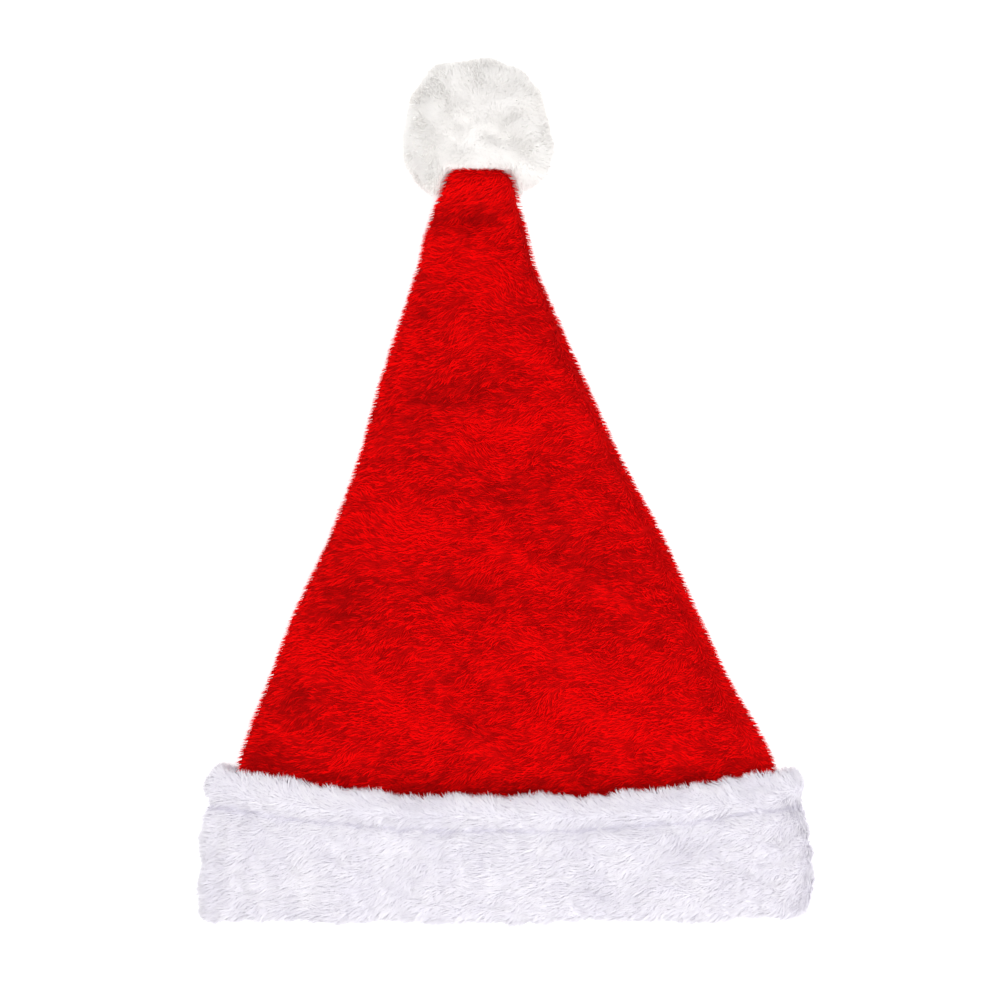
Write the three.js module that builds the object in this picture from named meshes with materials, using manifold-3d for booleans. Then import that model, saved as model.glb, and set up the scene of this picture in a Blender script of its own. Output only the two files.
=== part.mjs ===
// A plush santa hat, laid flat: a red crown of two sewn panels, a deep white cuff and a white pompom.
// Millimetres, +Z up. The hat lies on its back panel, its mouth faces -Y and its tip points to +Y,
// where it climbs over the near side of the pompom. The origin is the bottom centre of the whole hat.
import * as THREE from "three";
import { mergeVertices } from "three/addons/utils/BufferGeometryUtils.js";
import Module from "manifold-3d";

// Driving dimensions, in millimetres

const CROWN_WIDTH = 261; // across the crown where it leaves the cuff
const CROWN_LENGTH = 325; // hem to tip
const CROWN_THICKNESS = 34; // of the laid crown where it is fullest
const CROWN_WALL = 4; // backing and flattened pile
const CROWN_EDGE = 7; // width of the sewn side edge, which has no hollow in it
const TIP_WIDTH = 36;
const TIP_ROUND = 10; // length of the rounded end
const TIP_LEAN = -14.5; // sideways, from the middle of the cuff

const CUFF_DEPTH = 61; // mouth edge to top edge, at the middle
const CUFF_FRONT_WALL = 14;
const CUFF_BACK_WALL = 13; // pressed a little by the hat's weight
const CUFF_SIDE_WALL = 19; // beside the crown
const CUFF_TOP_SAG = 15; // how much further the top edge reaches at the sides
const CUFF_MOUTH_SAG = 1.5; // how far the mouth edge draws back at the sides
const CUFF_MOUTH_SKEW = 0.5; // how much more it does so on the right, and less on the left
const MOUTH_GAPE = 14; // clear height of the mouth, at the middle
const CROWN_TUCK = 17; // hem of the crown inside the cuff, at the middle

const POMPOM_WIDTH = 71;
const POMPOM_LENGTH = 67;
const POMPOM_THICKNESS = 54;
const POMPOM_OVERLAP = 13; // how far the tip reaches over the pompom

const FUR_LENGTH = 22; // of one lock of the cuff
const FUR_WIDTH = 21;
const FUR_THICKNESS = 6;
const FUR_RISE = 2; // how far a lock's point stands off the band
const LOBE_WIDTH = 25; // of one lock of the pompom, which is round and fat

const FIT = 0.3; // clear gap between two pieces that touch
const SEAM_GAP = 0.3; // between the two panels, along the side seams

// Where the crown's side edges start to taper, the back of the cuff, and the two ends of the pompom

const CUFF_WIDTH = CROWN_WIDTH + 2 * CUFF_SIDE_WALL;
const HEM_Y = CUFF_DEPTH - CROWN_TUCK;
const TAPER_Y = CUFF_DEPTH + CUFF_TOP_SAG;
const TIP_Y = HEM_Y + CROWN_LENGTH;
const POMPOM_Y = TIP_Y - POMPOM_OVERLAP + POMPOM_LENGTH / 2;

// One row for each station of the crown. along: share of the way from the hem to the tip.
// leftBow, rightBow: how far the side edge lies inside a straight taper, as a share of the crown's width.
// prop: share of the cuff's back wall that holds the back panel up. lift: share of the pompom's thickness
// that does so. height: share of the crown's thickness. seam: share of that height below the side seams.
const CROWN_STATIONS = [
  { along: 0.0, leftBow: 0.0, rightBow: 0.0, prop: 1.0, lift: 0.0, height: 0.58, seam: 0.5 },
  { along: 0.06, leftBow: 0.0, rightBow: 0.0, prop: 0.95, lift: 0.0, height: 0.66, seam: 0.48 },
  { along: 0.11, leftBow: -0.008, rightBow: -0.008, prop: 0.7, lift: 0.0, height: 0.82, seam: 0.42 },
  { along: 0.16, leftBow: -0.008, rightBow: -0.004, prop: 0.32, lift: 0.0, height: 0.96, seam: 0.36 },
  { along: 0.22, leftBow: -0.005, rightBow: 0.006, prop: 0.08, lift: 0.0, height: 1.0, seam: 0.32 },
  { along: 0.32, leftBow: -0.002, rightBow: 0.009, prop: 0.0, lift: 0.0, height: 0.97, seam: 0.3 },
  { along: 0.44, leftBow: 0.015, rightBow: 0.01, prop: 0.0, lift: 0.0, height: 0.9, seam: 0.3 },
  { along: 0.56, leftBow: 0.019, rightBow: 0.022, prop: 0.0, lift: 0.0, height: 0.82, seam: 0.31 },
  { along: 0.68, leftBow: 0.009, rightBow: 0.024, prop: 0.0, lift: 0.0, height: 0.76, seam: 0.33 },
  { along: 0.8, leftBow: 0.006, rightBow: 0.023, prop: 0.0, lift: 0.0, height: 0.7, seam: 0.36 },
  { along: 0.86, leftBow: 0.004, rightBow: 0.02, prop: 0.0, lift: 0.0, height: 0.66, seam: 0.4 },
  { along: 0.9, leftBow: -0.002, rightBow: 0.009, prop: 0.0, lift: 0.04, height: 0.62, seam: 0.43 },
  { along: 0.935, leftBow: -0.001, rightBow: 0.003, prop: 0.0, lift: 0.22, height: 0.52, seam: 0.45 },
  { along: 0.965, leftBow: 0.003, rightBow: -0.005, prop: 0.0, lift: 0.47, height: 0.5, seam: 0.47 },
  { along: 1.0, leftBow: 0.003, rightBow: -0.005, prop: 0.0, lift: 0.56, height: 0.46, seam: 0.5 },
];

// Soft dents of the front panel. across: share of the way from the left edge to the right edge.
// along: share of the crown's length. wide, long: half sizes as shares of the crown's width.
// turn: degrees anticlockwise. depth: share of the crown's thickness.
const FRONT_DENTS = [
  { across: 0.5, along: 0.922, wide: 0.07, long: 0.03, turn: 4, depth: 0.14 },
  { across: 0.4, along: 0.657, wide: 0.13, long: 0.04, turn: 12, depth: 0.1 },
  { across: 0.55, along: 0.516, wide: 0.1, long: 0.045, turn: 0, depth: 0.12 },
  { across: 0.78, along: 0.402, wide: 0.11, long: 0.06, turn: -30, depth: 0.11 },
  { across: 0.4, along: 0.382, wide: 0.14, long: 0.045, turn: -15, depth: 0.12 },
  { across: 0.13, along: 0.345, wide: 0.07, long: 0.06, turn: 20, depth: 0.15 },
  { across: 0.09, along: 0.21, wide: 0.06, long: 0.055, turn: 50, depth: 0.13 },
  { across: 0.49, along: 0.187, wide: 0.12, long: 0.025, turn: -40, depth: 0.08 },
];

// The closed outline of the cuff's wall, from the inner face round the mouth edge to the outer face.
// out: share of the wall's thickness. up: share of the way from the mouth edge to the top edge.
const CUFF_PROFILE = [
  { out: 0.0, up: 0.1 },
  { out: 0.25, up: 0.01 },
  { out: 0.75, up: 0.0 },
  { out: 0.97, up: 0.06 },
  { out: 1.0, up: 0.24 },
  { out: 0.98, up: 0.48 },
  { out: 0.89, up: 0.65 },
  { out: 0.72, up: 0.745 },
  { out: 0.83, up: 0.85 },
  { out: 0.64, up: 0.97 },
  { out: 0.3, up: 1.0 },
  { out: -0.12, up: 0.85 },
  { out: 0.0, up: 0.4 },
];

// Rows of locks round the cuff. up: share of the way from the mouth edge. out: share of the wall's
// thickness. point: the way the locks lie, -1 to the mouth and 1 to the tip. locks: how many go round.
// size: share of a full lock.
const CUFF_FUR_ROWS = [
  { up: 0.29, out: 1.0, point: -1, locks: 28, size: 0.9 },
  { up: 0.47, out: 1.0, point: -1, locks: 28, size: 1.05 },
  { up: 0.68, out: 0.93, point: -1, locks: 28, size: 1.0 },
  { up: 0.88, out: 0.78, point: 1, locks: 40, size: 0.62 },
];

// Outlines of one lock of the cuff and of the pompom. along: share of the way from the root to the point.
// half: half the width there, as a share of the lock's width.
const FUR_LOCK = [
  { along: -0.2, half: 0 },
  { along: 0.1, half: 0.5 },
  { along: 0.55, half: 0.42 },
  { along: 1, half: 0 },
];
const POMPOM_LOBE = [
  { along: 0, half: 0 },
  { along: 0.3, half: 0.4 },
  { along: 0.68, half: 0.5 },
  { along: 0.92, half: 0.3 },
  { along: 1, half: 0 },
];

// The main lumps of the pompom's outline. turn: degrees from +X, seen from above.
// reach: share of half the pompom's width, from its middle to the lump's end.
const POMPOM_LUMPS = [
  { turn: 2, reach: 1.0 },
  { turn: 28, reach: 0.97 },
  { turn: 52, reach: 0.85 },
  { turn: 74, reach: 0.96 },
  { turn: 100, reach: 0.92 },
  { turn: 122, reach: 0.97 },
  { turn: 141, reach: 0.94 },
  { turn: 165, reach: 0.91 },
  { turn: 187, reach: 0.95 },
  { turn: 205, reach: 1.1 },
  { turn: 222, reach: 1.18 },
  { turn: 238, reach: 1.16 },
  { turn: 302, reach: 1.18 },
  { turn: 318, reach: 1.22 },
  { turn: 338, reach: 1.13 },
];

// Roundness of outlines: 2 is an ellipse, and a larger number is boxier

const FRONT_ROUND = 2.5;
const BACK_ROUND = 4;
const MOUTH_ROUND = 2.5;
const CUFF_ROUND = 3;
const POMPOM_ROUND = 2.3;
const BACK_FLAT = 1.08; // over 1, so that the middle of the back panel lies quite flat

// Numbers of faces

const CROWN_STEPS = 24;
const CROWN_SIDES = 28;
const HOLLOW_STEPS = 12;
const HOLLOW_SIDES = 16;
const CUFF_SIDES = 40;
const FUR_SIDES = 4;
const POMPOM_SIDES = 10;
const LOBE_SIDES = 5;
const POMPOM_LOBES = 26;
const RANDOM_SEED = 12;

const HOLLOW_END = 0.88; // share of the crown's length where the hollow stops
const TURN_STEP = 0.01; // radians round the cuff between a point and its neighbour
const LOBE_ROOT = 0.3; // share of the way from the pompom's middle to its surface where a lobe starts
const LOCK_JITTER = 0.3; // share by which a lock's place and length may stray
const LOBE_STRAY = 0.05; // share by which a lobe's reach may stray
const POMPOM_HEAD = 0.8; // size of the head under the lobes, as a share of the pompom
const LUMP_TILTS = [-12, 14]; // degrees above the level of the pompom's middle
const STAND_UP = [new THREE.Vector3(1, 0, 0), Math.PI / 2]; // turns the +Y pole of a sphere to +Z

const wasm = await Module();
wasm.setup();

const turnOfShare = (share) => share * 2 * Math.PI;
const signedPower = (value, power) => Math.sign(value) * Math.abs(value) ** power;
const shoulder = (share, round) => Math.max(0, 1 - Math.abs(share) ** round) ** (1 / round);
const jitter = () => THREE.MathUtils.seededRandom() * 2 - 1;

// A column of a table as a smooth function of its along column.
function columnOf(table, name) {
  const curve = new THREE.CubicInterpolant(
    table.map((row) => row.along),
    table.map((row) => row[name]),
    1,
  );
  const last = table[table.length - 1].along;
  return (along) => curve.evaluate(THREE.MathUtils.clamp(along, 0, last))[0];
}

// A closed body through rings of points that have the same number of points each. Faces turn out when
// a ring runs clockwise as seen along the way that the rings follow each other.
function bodyThroughRings(rings) {
  const sides = rings[0].length;
  const points = rings.flat();
  const faces = [];
  for (let ring = 0; ring + 1 < rings.length; ring++) {
    for (let side = 0; side < sides; side++) {
      const a = ring * sides + side;
      const b = ring * sides + ((side + 1) % sides);
      faces.push(a, b, b + sides, a, b + sides, a + sides);
    }
  }
  const middleOf = (ring) =>
    ring.reduce((sum, point) => sum.add(point), new THREE.Vector3()).divideScalar(sides);
  const start = points.push(middleOf(rings[0])) - 1;
  const end = points.push(middleOf(rings[rings.length - 1])) - 1;
  const lastRing = (rings.length - 1) * sides;
  for (let side = 0; side < sides; side++) {
    const next = (side + 1) % sides;
    faces.push(start, next, side, end, lastRing + side, lastRing + next);
  }
  return new THREE.BufferGeometry().setFromPoints(points).setIndex(faces);
}

// A closed body whose rings form a loop, as in a torus.
function bodyThroughLoop(rings) {
  const sides = rings[0].length;
  const faces = [];
  for (let ring = 0; ring < rings.length; ring++) {
    const here = ring * sides;
    const there = ((ring + 1) % rings.length) * sides;
    for (let side = 0; side < sides; side++) {
      const next = (side + 1) % sides;
      faces.push(here + side, here + next, there + next, here + side, there + next, there + side);
    }
  }
  return new THREE.BufferGeometry().setFromPoints(rings.flat()).setIndex(faces);
}

// A geometry as a manifold-3d solid, facing out.
function solidOf(geometry) {
  const bare = geometry.clone();
  bare.deleteAttribute("normal");
  bare.deleteAttribute("uv");
  const merged = mergeVertices(bare);
  const corners = new Uint32Array(merged.index.array);
  const build = () =>
    new wasm.Manifold(
      new wasm.Mesh({
        numProp: 3,
        vertProperties: new Float32Array(merged.attributes.position.array),
        triVerts: corners,
      }),
    );
  const solid = build();
  if (solid.volume() > 0) return solid;
  for (let i = 0; i < corners.length; i += 3) [corners[i], corners[i + 1]] = [corners[i + 1], corners[i]];
  return build();
}

function geometryOf(solid) {
  const mesh = solid.getMesh();
  const geometry = new THREE.BufferGeometry();
  geometry.setAttribute("position", new THREE.BufferAttribute(mesh.vertProperties, mesh.numProp));
  geometry.setIndex(new THREE.BufferAttribute(mesh.triVerts, 1));
  geometry.computeVertexNormals();
  return geometry;
}

const leftBow = columnOf(CROWN_STATIONS, "leftBow");
const rightBow = columnOf(CROWN_STATIONS, "rightBow");
const prop = columnOf(CROWN_STATIONS, "prop");
const lift = columnOf(CROWN_STATIONS, "lift");
const height = columnOf(CROWN_STATIONS, "height");
const seamShare = columnOf(CROWN_STATIONS, "seam");

// The crown's outline at a share of the way from the hem to the tip: its two side edges, the level of the
// side seams and the levels of the back and front panels. The last stretch rounds off to the tip.
function crownOutline(along) {
  const y = HEM_Y + along * CROWN_LENGTH;
  const taper = THREE.MathUtils.clamp((y - TAPER_Y) / (TIP_Y - TIP_ROUND - TAPER_Y), 0, 1);
  const halfWidth = THREE.MathUtils.lerp(CROWN_WIDTH, TIP_WIDTH, taper) / 2;
  const middle = TIP_LEAN * taper;
  const rounding = shoulder(Math.max(0, (y - TIP_Y + TIP_ROUND) / TIP_ROUND), 2);
  const under = prop(along) * CUFF_BACK_WALL + lift(along) * POMPOM_THICKNESS;
  const thickness = height(along) * CROWN_THICKNESS;
  const seam = under + seamShare(along) * thickness;
  return {
    y,
    left: middle - rounding * (halfWidth - leftBow(along) * CROWN_WIDTH),
    right: middle + rounding * (halfWidth - rightBow(along) * CROWN_WIDTH),
    under: THREE.MathUtils.lerp(seam, under, rounding),
    top: THREE.MathUtils.lerp(seam, under + thickness, rounding),
    seam,
  };
}

// How far the front panel is pressed in at a point of its plan.
function dentDepth(x, y) {
  return FRONT_DENTS.reduce((sum, dent) => {
    const { left, right, y: dentY } = crownOutline(dent.along);
    const away = new THREE.Vector2(x - THREE.MathUtils.lerp(left, right, dent.across), y - dentY);
    away.rotateAround(new THREE.Vector2(), THREE.MathUtils.degToRad(-dent.turn));
    const p = away.x / (dent.wide * CROWN_WIDTH);
    const q = away.y / (dent.long * CROWN_WIDTH);
    return sum + dent.depth * CROWN_THICKNESS * Math.exp(-p * p - q * q);
  }, 0);
}

// One ring of points round the crown. grow is how far it lies outside the crown's own surface, and edge
// how far outside its side edges.
function crownRing(along, sides, grow, edge) {
  const { y, left, right, seam, top, under } = crownOutline(along);
  const middle = (left + right) / 2;
  const halfWidth = Math.max((right - left) / 2 + edge, CROWN_WALL / 2);
  return Array.from({ length: sides }, (_, side) => {
    const turn = turnOfShare(side / sides);
    const share = Math.cos(turn);
    const x = middle + share * halfWidth;
    if (Math.sin(turn) >= 0) {
      const dent = dentDepth(x, y) * (1 - share * share);
      return new THREE.Vector3(x, y, seam + (top + grow - seam - dent) * shoulder(share, FRONT_ROUND));
    }
    const flat = Math.min(1, BACK_FLAT * shoulder(share, BACK_ROUND));
    return new THREE.Vector3(x, y, seam - (seam - under + grow) * flat);
  });
}

// The crown as one full body, with its surface moved out by grow.
function crownBody(grow) {
  const rings = Array.from({ length: CROWN_STEPS + 1 }, (_, step) =>
    crownRing(Math.sin(((step / CROWN_STEPS) * Math.PI) / 2), CROWN_SIDES, grow, grow),
  );
  const before = rings[0].map((point) => point.clone().setY(point.y - grow));
  const after = rings[CROWN_STEPS].map((point) => point.clone().setY(point.y + grow));
  return solidOf(bodyThroughRings(grow > 0 ? [before, ...rings, after] : rings));
}

// The space inside the crown, open at the hem.
function crownHollow() {
  const rings = Array.from({ length: HOLLOW_STEPS + 1 }, (_, step) =>
    crownRing((HOLLOW_END * step) / HOLLOW_STEPS, HOLLOW_SIDES, -CROWN_WALL, -CROWN_EDGE),
  );
  const outside = rings[0].map((point) => point.clone().setY(point.y - CROWN_TUCK));
  return solidOf(bodyThroughRings([outside, ...rings]));
}

// All the space above the side seams, or below them, less half the gap between the panels.
function seamSide(above) {
  const far = CROWN_THICKNESS + POMPOM_THICKNESS;
  const rings = Array.from({ length: CROWN_STEPS + 3 }, (_, step) => {
    const { y, seam } = crownOutline((step - 1) / CROWN_STEPS);
    const near = seam + (above ? SEAM_GAP : -SEAM_GAP) / 2;
    const away = above ? far + seam : -far;
    return [
      new THREE.Vector3(CROWN_WIDTH, y, near),
      new THREE.Vector3(CROWN_WIDTH, y, away),
      new THREE.Vector3(-CROWN_WIDTH, y, away),
      new THREE.Vector3(-CROWN_WIDTH, y, near),
    ];
  });
  return solidOf(bodyThroughRings(rings));
}

// A point of the cuff's wall. turn runs round the band, out from the inner face to the outer one and up
// from the mouth edge to the top edge. The inner face narrows from the crown's hem to the mouth.
function cuffPoint(turn, out, up) {
  const hem = crownOutline(0);
  const gape = THREE.MathUtils.lerp(MOUTH_GAPE, hem.top - hem.under, Math.min(1, (up * CUFF_DEPTH) / HEM_Y));
  const across = (round) => signedPower(Math.cos(turn), 2 / round);
  const upright = (round) => signedPower(Math.sin(turn), 2 / round);
  const inner = new THREE.Vector2(
    (across(MOUTH_ROUND) * CROWN_WIDTH) / 2,
    hem.under + (gape / 2) * (1 + upright(MOUTH_ROUND)),
  );
  const outerHalf = (hem.under + gape + CUFF_FRONT_WALL) / 2;
  const outer = new THREE.Vector2(
    (across(CUFF_ROUND) * CUFF_WIDTH) / 2,
    Math.max(0, outerHalf * (1 + BACK_FLAT * upright(CUFF_ROUND))),
  );
  const place = inner.lerp(outer, out);
  const side = (2 * place.x) / CUFF_WIDTH;
  const mouthY = CUFF_MOUTH_SAG * side ** 2 + CUFF_MOUTH_SKEW * side;
  const topY = CUFF_DEPTH + CUFF_TOP_SAG * side ** 2;
  return new THREE.Vector3(place.x, THREE.MathUtils.lerp(mouthY, topY, up), place.y);
}

// The line round the middle of the cuff's outer face, which spaces its faces and locks evenly.
class CuffLine extends THREE.Curve {
  getPoint(share) {
    return cuffPoint(turnOfShare(share), 1, 0.5);
  }
}
const cuffLine = new CuffLine();
const turnAt = (share) => turnOfShare(cuffLine.getUtoTmapping(THREE.MathUtils.euclideanModulo(share, 1)));

function cuffBand() {
  const rings = Array.from({ length: CUFF_SIDES }, (_, side) =>
    CUFF_PROFILE.map(({ out, up }) => cuffPoint(turnAt(side / CUFF_SIDES), out, up)),
  );
  return solidOf(bodyThroughLoop(rings));
}

// A lock with its root at the origin, its point along +Y and its thickness along Z.
function lockShape(outline, sides, length, width, thickness) {
  const profile = outline.map(({ along, half }) => new THREE.Vector2(half * width, along * length));
  return new THREE.LatheGeometry(profile, sides).scale(1, 1, thickness / width);
}

// A lock placed with its root at a point, its length along a direction and its thickness along a normal.
function lockAt(shape, root, direction, normal) {
  const sideways = new THREE.Vector3().crossVectors(direction, normal).normalize();
  const upward = new THREE.Vector3().crossVectors(sideways, direction).normalize();
  const basis = new THREE.Matrix4().makeBasis(sideways, direction.clone().normalize(), upward);
  return solidOf(shape.applyMatrix4(basis.setPosition(root)));
}

// The cuff's fur: rows of overlapping locks wherever the band doesn't lie on the surface.
function cuffLocks() {
  const solids = [];
  CUFF_FUR_ROWS.forEach(({ up, out, point, locks, size }, row) => {
    for (let index = 0; index < locks; index++) {
      const turn = turnAt((index + (row % 2) / 2 + LOCK_JITTER * jitter()) / locks);
      const root = cuffPoint(turn, out, up);
      const length = FUR_LENGTH * size * (1 + LOCK_JITTER * jitter());
      const stray = (LOCK_JITTER * jitter()) / 2;
      if (root.z < FUR_THICKNESS / 2) continue;
      const sideways = cuffPoint(turn + TURN_STEP, out, up).sub(root).setY(0).normalize();
      const normal = new THREE.Vector3(0, 1, 0).cross(sideways);
      const direction = new THREE.Vector3(0, point, 0)
        .addScaledVector(normal, FUR_RISE / FUR_LENGTH)
        .addScaledVector(sideways, stray);
      const shape = lockShape(FUR_LOCK, FUR_SIDES, length, FUR_WIDTH * size, FUR_THICKNESS * size);
      solids.push(lockAt(shape, root, direction, normal));
    }
  });
  return solids;
}

const cutAtFloor = (solid) => solid.trimByPlane([0, 0, 1], 0);

// The largest skin of a solid. That leaves out any small pocket closed in between locks.
const outerSkin = (solid) =>
  solid.decompose().reduce((largest, skin) => (skin.volume() > largest.volume() ? skin : largest));

function cuffSolid() {
  const furry = wasm.Manifold.union([cuffBand(), ...cuffLocks()]);
  return outerSkin(cutAtFloor(furry.subtract(crownBody(FIT))));
}

// How far the pompom's surface is from its middle in a direction, for an outline a little boxier than
// an ellipse.
function pompomReach(direction) {
  const shares = [
    (2 * direction.x) / POMPOM_WIDTH,
    (2 * direction.y) / POMPOM_LENGTH,
    (2 * direction.z) / POMPOM_THICKNESS,
  ];
  const sum = shares.reduce((total, share) => total + Math.abs(share) ** POMPOM_ROUND, 0);
  return sum ** (-1 / POMPOM_ROUND);
}

// A fat lock of the pompom, which points out from its middle to a share of the way to its surface.
function pompomLobe(middle, direction, share) {
  const reach = share * pompomReach(direction);
  const root = middle.clone().addScaledVector(direction, LOBE_ROOT * reach);
  const across = Math.abs(direction.z) < 0.9 ? new THREE.Vector3(0, 0, 1) : new THREE.Vector3(1, 0, 0);
  const shape = lockShape(POMPOM_LOBE, LOBE_SIDES, (1 - LOBE_ROOT) * reach, LOBE_WIDTH, LOBE_WIDTH);
  return lockAt(shape, root, direction, across);
}

// The tip lies on the pompom, which leaves the space over the tip clear.
function spaceOverTip() {
  const tip = crownBody(FIT).trimByPlane([0, 1, 0], TIP_Y - POMPOM_OVERLAP - TIP_WIDTH / 2);
  return wasm.Manifold.hull([tip.translate([0, 0, FIT]), tip.translate([0, 0, POMPOM_THICKNESS])]);
}

function pompomSolid() {
  const middle = new THREE.Vector3(TIP_LEAN, POMPOM_Y, POMPOM_THICKNESS / 2);
  const head = new THREE.SphereGeometry(POMPOM_HEAD / 2, POMPOM_SIDES, POMPOM_SIDES / 2);
  head.rotateX(Math.PI / 2).scale(POMPOM_WIDTH, POMPOM_LENGTH, POMPOM_THICKNESS);
  const solids = [solidOf(head.translate(middle.x, middle.y, middle.z))];
  POMPOM_LUMPS.forEach(({ turn, reach }, index) => {
    const from = THREE.MathUtils.degToRad(90 - LUMP_TILTS[index % 2]);
    const around = THREE.MathUtils.degToRad(90 + turn);
    const direction = new THREE.Vector3().setFromSphericalCoords(1, from, around).applyAxisAngle(...STAND_UP);
    solids.push(pompomLobe(middle, direction, reach));
  });
  const goldenTurn = Math.PI * (3 - Math.sqrt(5));
  for (let index = 0; index < POMPOM_LOBES; index++) {
    const from = Math.acos(1 - (2 * (index + 0.5)) / POMPOM_LOBES);
    const direction = new THREE.Vector3().setFromSphericalCoords(1, from, index * goldenTurn);
    solids.push(pompomLobe(middle, direction.applyAxisAngle(...STAND_UP), 1 + LOBE_STRAY * jitter()));
  }
  const furry = wasm.Manifold.union(solids).subtract(spaceOverTip());
  return outerSkin(cutAtFloor(furry.subtract(crownBody(FIT))));
}

const RED_PLUSH = { color: 0xc80505, roughness: 0.95, metalness: 0 };
const WHITE_PLUSH = { color: 0xf0eef2, roughness: 0.95, metalness: 0 };
const WHITE_FLUFF = { color: 0xf3efed, roughness: 1, metalness: 0 };

function pieceOf(name, solid, finish) {
  const piece = new THREE.Mesh(geometryOf(solid), new THREE.MeshStandardMaterial(finish));
  piece.name = name;
  return piece;
}

THREE.MathUtils.seededRandom(RANDOM_SEED);
const crownShell = cutAtFloor(crownBody(0).subtract(crownHollow()));
const hat = new THREE.Group();
hat.add(pieceOf("crown_front", crownShell.intersect(seamSide(true)), RED_PLUSH));
hat.add(pieceOf("crown_back", crownShell.intersect(seamSide(false)), RED_PLUSH));
hat.add(pieceOf("cuff", cuffSolid(), WHITE_PLUSH));
hat.add(pieceOf("pompom", pompomSolid(), WHITE_FLUFF));

const extent = new THREE.Box3().setFromObject(hat);
const middle = extent.getCenter(new THREE.Vector3());
hat.position.set(-middle.x, -middle.y, -extent.min.z);

export default hat;
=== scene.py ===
# A plush santa hat laid flat on its back and seen from straight above. Each panel is a closed cloth shell
# with its pile set on it, tuft by tuft, and the cuff and pompom are padded forms under deeper fur.
# Shapes are worked out in millimetres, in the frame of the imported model, and written to meshes in metres.
import math

import bpy
import numpy as np
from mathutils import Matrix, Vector


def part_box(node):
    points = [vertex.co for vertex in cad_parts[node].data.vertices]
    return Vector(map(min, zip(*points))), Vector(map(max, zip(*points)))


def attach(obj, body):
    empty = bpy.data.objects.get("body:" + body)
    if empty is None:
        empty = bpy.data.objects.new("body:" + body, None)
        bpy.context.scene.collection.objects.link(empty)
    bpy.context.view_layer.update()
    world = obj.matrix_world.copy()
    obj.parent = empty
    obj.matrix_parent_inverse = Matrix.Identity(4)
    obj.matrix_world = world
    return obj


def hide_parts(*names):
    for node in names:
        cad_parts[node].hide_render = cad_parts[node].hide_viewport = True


bl_info = {
    "name": "Plush santa hat",
    "version": (1, 0, 0),
    "blender": (4, 5, 0),
    "location": "View3D > Sidebar > Hat",
    "description": "Builds a plush santa hat with pile, fur cuff and pompom",
    "category": "Object",
}

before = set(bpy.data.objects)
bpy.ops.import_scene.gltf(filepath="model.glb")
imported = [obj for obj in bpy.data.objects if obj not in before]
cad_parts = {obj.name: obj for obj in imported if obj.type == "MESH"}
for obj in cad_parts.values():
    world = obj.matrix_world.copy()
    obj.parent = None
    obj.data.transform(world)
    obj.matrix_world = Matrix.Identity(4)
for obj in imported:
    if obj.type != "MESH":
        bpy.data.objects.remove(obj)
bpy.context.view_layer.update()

MM = 0.001


def node_box(name):
    """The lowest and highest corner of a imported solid, in millimetres."""
    low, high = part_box(name)
    return np.array(low) / MM, np.array(high) / MM


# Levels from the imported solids, and sizes in millimetres
CROWN_LOW, CROWN_HIGH = node_box("crown_back")
HAT_HEIGHT = node_box("cuff")[1][2]
HEM_Y = CROWN_LOW[1]
TIP_Y = CROWN_HIGH[1]
CROWN_LENGTH = TIP_Y - HEM_Y
CROWN_WIDTH = 261.0
CROWN_THICKNESS = 34.0
TIP_WIDTH = 36.0
TIP_ROUND = 10.0
TIP_LEAN = -14.5  # sideways
CUFF_DEPTH = 61.0
CROWN_TUCK = 17.0  # of the crown inside the cuff
CUFF_WIDTH = 299.0
CUFF_FRONT_WALL = 14.0
CUFF_BACK_WALL = 13.0
CUFF_TOP_SAG = 16.0  # how much further the top edge reaches at the sides
CUFF_MOUTH_SAG = 1.5  # how far the mouth edge draws back at the sides
CUFF_MOUTH_SKEW = 0.5  # how much more at the right side, and less at the left
MOUTH_GAPE = 14.0
MOUTH_Y = HEM_Y + CROWN_TUCK - CUFF_DEPTH
TAPER_Y = MOUTH_Y + CUFF_DEPTH + CUFF_TOP_SAG
POMPOM_SIZE = np.array([71.0, 67.0, 54.0])
POMPOM_OVERLAP = 13.0  # how far the tip reaches over the pompom
POMPOM_MIDDLE = np.array([TIP_LEAN, TIP_Y - POMPOM_OVERLAP + POMPOM_SIZE[1] / 2, POMPOM_SIZE[2] / 2])

# Powers of the superellipses
FRONT_ROUND = 2.5
BACK_ROUND = 4.0
MOUTH_ROUND = 2.5
CUFF_ROUND = 3.0
POMPOM_ROUND = 2.3
BACK_FLAT = 1.08  # over 1, so that the middle of an underside is quite flat

SEAM_PINCH = 1.2  # how far the cuff's seam draws the crown in
SEAM_PINCH_REACH = 9.0
TIP_MARGIN = 3.5  # width of the slope beside the tip
TIP_PRESS = 2.0  # how far below the tip's seam the pompom is pressed
TIP_END = 0.985  # share of the crown's length from which the tip's sides count as straight
FLOOR_INSET = 1.5  # the most that an underside is inset from the floor
FLOOR_CLEAR = 0.12  # between the floor and the fur
PANEL_CLEAR = 0.15  # between a panel and the plane of the side seams
LEAST_HALF = 0.6  # of a ring of the crown, so that none closes to a line
LEAST_RISE = 1.0

# Waves of the cloth and of the nap. Columns: height, length in millimetres, seed
CROWN_WAVES = ((0.9, 42, 3), (0.45, 17, 4))
CUFF_WAVES = ((0.8, 38, 11), (0.6, 15, 12))
POMPOM_WAVES = ((0.9, 14, 21),)
NAP_WAVES = ((0.05, 30, 31), (0.07, 9, 32), (0.12, 3.2, 33))
CROWN_SWIRLS = ((0.4, 60, 1), (0.35, 13, 2))
CUFF_SWIRLS = ((0.25, 45, 1), (0.35, 12, 2))

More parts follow.
